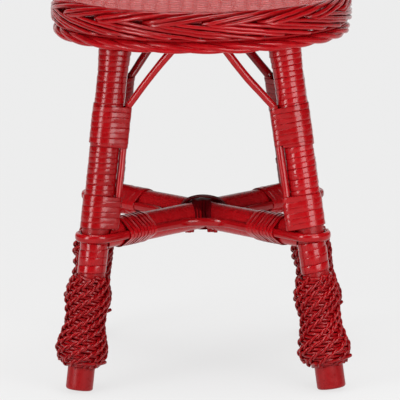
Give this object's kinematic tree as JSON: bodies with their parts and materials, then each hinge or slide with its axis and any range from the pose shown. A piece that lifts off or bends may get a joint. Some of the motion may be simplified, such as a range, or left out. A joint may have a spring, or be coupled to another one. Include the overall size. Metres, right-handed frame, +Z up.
{
  "type": "wicker stool",
  "caption": "Round woven-seat stool with a braided edge, on splayed cane-wrapped legs with twined cuffs, braced to the seat and tied low down by crossed poles.",
  "frame": {"origin": "on the ground, midway between the four feet", "axes": "+Z up, front at -Y, +X to the right seen from the front"},
  "size_m": [0.3572, 0.3572, 0.45],
  "materials": {
    "pole_enamel": "gloss red enamel over rattan pole",
    "rod_enamel": "gloss red enamel over thin rattan rod",
    "cane_enamel": "gloss red enamel over split cane, pooled darker between the turns",
    "wicker_enamel": "gloss red enamel over woven willow rods",
    "lashing": "older dark maroon enamel over split cane",
    "steel": "wire nail"
  },
  "bodies": {
    "root": {"leg_pole_front_left": "pole_enamel", "leg_wrap_upper_front_left": "cane_enamel", "leg_wrap_lower_front_left": "cane_enamel", "leg_cuff_front_left": "wicker_enamel", "upper_binding_front_left": "cane_enamel", "lower_binding_front_left": "cane_enamel", "leg_pole_front_right": "pole_enamel", "leg_wrap_upper_front_right": "cane_enamel", "leg_wrap_lower_front_right": "cane_enamel", "leg_cuff_front_right": "wicker_enamel", "upper_binding_front_right": "cane_enamel", "lower_binding_front_right": "cane_enamel", "leg_pole_back_left": "pole_enamel", "leg_wrap_upper_back_left": "cane_enamel", "leg_wrap_lower_back_left": "cane_enamel", "leg_cuff_back_left": "wicker_enamel", "upper_binding_back_left": "cane_enamel", "lower_binding_back_left": "cane_enamel", "leg_pole_back_right": "pole_enamel", "leg_wrap_upper_back_right": "cane_enamel", "leg_wrap_lower_back_right": "cane_enamel", "leg_cuff_back_right": "wicker_enamel", "upper_binding_back_right": "cane_enamel", "lower_binding_back_right": "cane_enamel", "brace_front_left": "rod_enamel", "brace_front_right": "rod_enamel", "brace_back_left": "rod_enamel", "brace_back_right": "rod_enamel", "cross_pole_front_left": "pole_enamel", "cross_pole_front_right": "pole_enamel", "loop_rod_front_left": "rod_enamel", "arm_binding_front_left": "cane_enamel", "cross_nail_front_left": "steel", "seat_nail_front_left": "steel", "loop_rod_front_right": "rod_enamel", "arm_binding_front_right": "cane_enamel", "cross_nail_front_right": "steel", "seat_nail_front_right": "steel", "loop_rod_back_left": "rod_enamel", "arm_binding_back_left": "cane_enamel", "cross_nail_back_left": "steel", "seat_nail_back_left": "steel", "loop_rod_back_right": "rod_enamel", "arm_binding_back_right": "cane_enamel", "cross_nail_back_right": "steel", "seat_nail_back_right": "steel", "crossing_band_inner": "lashing", "crossing_band_outer": "lashing", "seat_hoop": "pole_enamel", "seat_bar_front": "pole_enamel", "seat_bar_back": "pole_enamel", "seat_panel": "wicker_enamel", "rim_braid": "wicker_enamel", "rim_rope": "wicker_enamel"}
  },
  "joints": []
}
